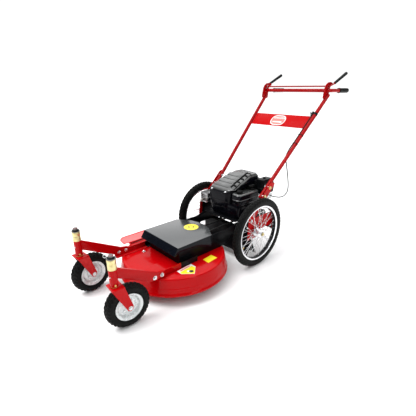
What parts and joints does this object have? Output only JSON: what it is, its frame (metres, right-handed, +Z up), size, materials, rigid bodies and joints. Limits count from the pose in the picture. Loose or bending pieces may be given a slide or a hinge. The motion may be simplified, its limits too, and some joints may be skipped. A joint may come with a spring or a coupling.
{
  "type": "brush mower",
  "caption": "Walk-behind brush mower: round cutting deck on swivel casters, high spoked rear wheels, vertical-shaft engine with belt drive, and a tall handle with control levers.",
  "frame": {"origin": "middle of the machine's footprint on the ground, in its mid-plane", "axes": "+Z up, +Y back towards the operator (the long way of the machine), +X the operator's left"},
  "size_m": [0.7548, 2.2058, 1.3462],
  "materials": {
    "red_paint": "gloss",
    "black_paint": "gloss",
    "black_plastic": "semi-gloss moulded",
    "tyre_rubber": "matte tread",
    "grip_rubber": "matte",
    "belt_rubber": "matte",
    "cable_sheath": "satin",
    "chrome_plate": "polished",
    "white_paint": "satin silver-white",
    "yellow_zinc": "yellow zinc plate",
    "machined_steel": "machined",
    "cast_aluminium": "as cast",
    "muffler_metal": "heat-dulled sheet"
  },
  "bodies": {
    "root": {"deck_shell": "red_paint", "deck_skirt": "red_paint", "deck_rail_left": "red_paint", "deck_rail_right": "red_paint", "caster_arm_left": "red_paint", "caster_arm_right": "red_paint", "spindle_housing": "black_paint", "spindle_bearing_upper": "machined_steel", "spindle_bearing_lower": "machined_steel", "chassis_frame": "black_paint", "belt_cover": "black_paint", "engine_plate": "black_paint", "frame_side_left": "red_paint", "frame_side_right": "red_paint", "rear_axle_bolt_left": "yellow_zinc", "rear_axle_bolt_right": "yellow_zinc", "engine_block": "cast_aluminium", "blower_housing": "black_plastic", "fuel_tank": "black_plastic", "muffler": "muffler_metal", "air_cleaner": "black_plastic", "carburettor": "cast_aluminium", "drive_belt": "belt_rubber", "handle_tube_left": "red_paint", "handle_tube_right": "red_paint", "handle_panel": "red_paint", "handlebar": "red_paint", "grip_left": "grip_rubber", "grip_right": "grip_rubber", "throttle_box": "black_plastic", "throttle_cable": "cable_sheath"},
    "caster_left": {"caster_fork_left": "red_paint", "height_spacers_left": "yellow_zinc", "caster_axle_left": "yellow_zinc"},
    "caster_wheel_left": {"caster_tyre_left": "tyre_rubber", "caster_rim_left": "white_paint"},
    "rear_wheel_left": {"rear_tyre_left": "tyre_rubber", "spoked_wheel_left": "chrome_plate"},
    "caster_right": {"caster_fork_right": "red_paint", "height_spacers_right": "yellow_zinc", "caster_axle_right": "yellow_zinc"},
    "caster_wheel_right": {"caster_tyre_right": "tyre_rubber", "caster_rim_right": "white_paint"},
    "rear_wheel_right": {"rear_tyre_right": "tyre_rubber", "spoked_wheel_right": "chrome_plate"},
    "blade_spindle": {"spindle_shaft": "machined_steel", "blade_pulley": "machined_steel", "blade_holder": "machined_steel", "cutting_blade": "machined_steel"},
    "crankshaft": {"crankshaft": "machined_steel", "engine_pulley": "machined_steel"},
    "idler_arm": {"idler_arm": "machined_steel"},
    "idler_roller": {"idler_roller": "machined_steel"},
    "control_bail": {"control_bail": "red_paint", "lever_sleeve_left": "grip_rubber", "lever_sleeve_right": "grip_rubber"},
    "throttle_lever": {"throttle_lever": "black_plastic"},
    "fuel_cap": {"fuel_cap": "black_plastic"},
    "starter_grip": {"starter_grip": "black_plastic"},
    "deflector": {"discharge_deflector": "red_paint"}
  },
  "joints": [
    {"name": "caster_swivel_left", "type": "hinge", "parent": "root", "child": "caster_left", "pos_m": [0.222, -1.043, 0.32], "axis": [0, 0, 1], "continuous": true},
    {"name": "caster_spin_left", "type": "hinge", "parent": "caster_left", "child": "caster_wheel_left", "pos_m": [0.22613, -0.98414, 0.129], "axis": [0.9976, -0.0699, 0], "continuous": true},
    {"name": "rear_wheel_spin_left", "type": "hinge", "parent": "root", "child": "rear_wheel_left", "pos_m": [0.2937, 0.041, 0.255], "axis": [1, 0, 0], "continuous": true},
    {"name": "caster_swivel_right", "type": "hinge", "parent": "root", "child": "caster_right", "pos_m": [-0.222, -1.043, 0.32], "axis": [0, 0, 1], "continuous": true},
    {"name": "caster_spin_right", "type": "hinge", "parent": "caster_right", "child": "caster_wheel_right", "pos_m": [-0.22613, -0.98414, 0.129], "axis": [0.9976, 0.0699, 0], "continuous": true},
    {"name": "rear_wheel_spin_right", "type": "hinge", "parent": "root", "child": "rear_wheel_right", "pos_m": [-0.2937, 0.041, 0.255], "axis": [1, 0, 0], "continuous": true},
    {"name": "blade_spin", "type": "hinge", "parent": "root", "child": "blade_spindle", "pos_m": [0, -0.494, 0.2], "axis": [0, 0, 1], "continuous": true},
    {"name": "crank_spin", "type": "hinge", "parent": "root", "child": "crankshaft", "pos_m": [0, 0.121, 0.3], "axis": [0, 0, 1], "continuous": true},
    {"name": "control_bail_squeeze", "type": "hinge", "parent": "root", "child": "control_bail", "pos_m": [0, 0.809, 1.241], "axis": [1, 0, 0], "range_deg": [-19, 0], "stiffness_Nm_per_rad": 4, "springref_deg": 14.32},
    {"name": "clutch_idler_swing", "type": "hinge", "parent": "root", "child": "idler_arm", "pos_m": [-0.125, -0.339, 0.277], "axis": [0, 0, 1], "range_deg": [-7.4, 0]},
    {"name": "idler_roller_spin", "type": "hinge", "parent": "idler_arm", "child": "idler_roller", "pos_m": [-0.0965, -0.214, 0.262], "axis": [0, 0, 1], "continuous": true},
    {"name": "throttle_lever_turn", "type": "hinge", "parent": "root", "child": "throttle_lever", "pos_m": [0.249, 0.678, 1.039], "axis": [1, 0, 0], "range_deg": [-30, 30]},
    {"name": "fuel_cap_turn", "type": "hinge", "parent": "root", "child": "fuel_cap", "pos_m": [0.132, 0.011, 0.53], "axis": [0, 0, 1], "range_deg": [0, 180]},
    {"name": "starter_pull", "type": "slide", "parent": "root", "child": "starter_grip", "axis": [0, 0, 1], "range_m": [0, 0.6], "stiffness_N_per_m": 15},
    {"name": "deflector_lift", "type": "hinge", "parent": "root", "child": "deflector", "pos_m": [-0.2985, -0.579, 0.1945], "axis": [0, 1, 0], "range_deg": [0, 75]}
  ],
  "couplings": [
    {"joint": "crank_spin", "follows": "blade_spin", "ratio": 1.5897},
    {"joint": "clutch_idler_swing", "follows": "control_bail_squeeze", "ratio": 0.384}
  ]
}
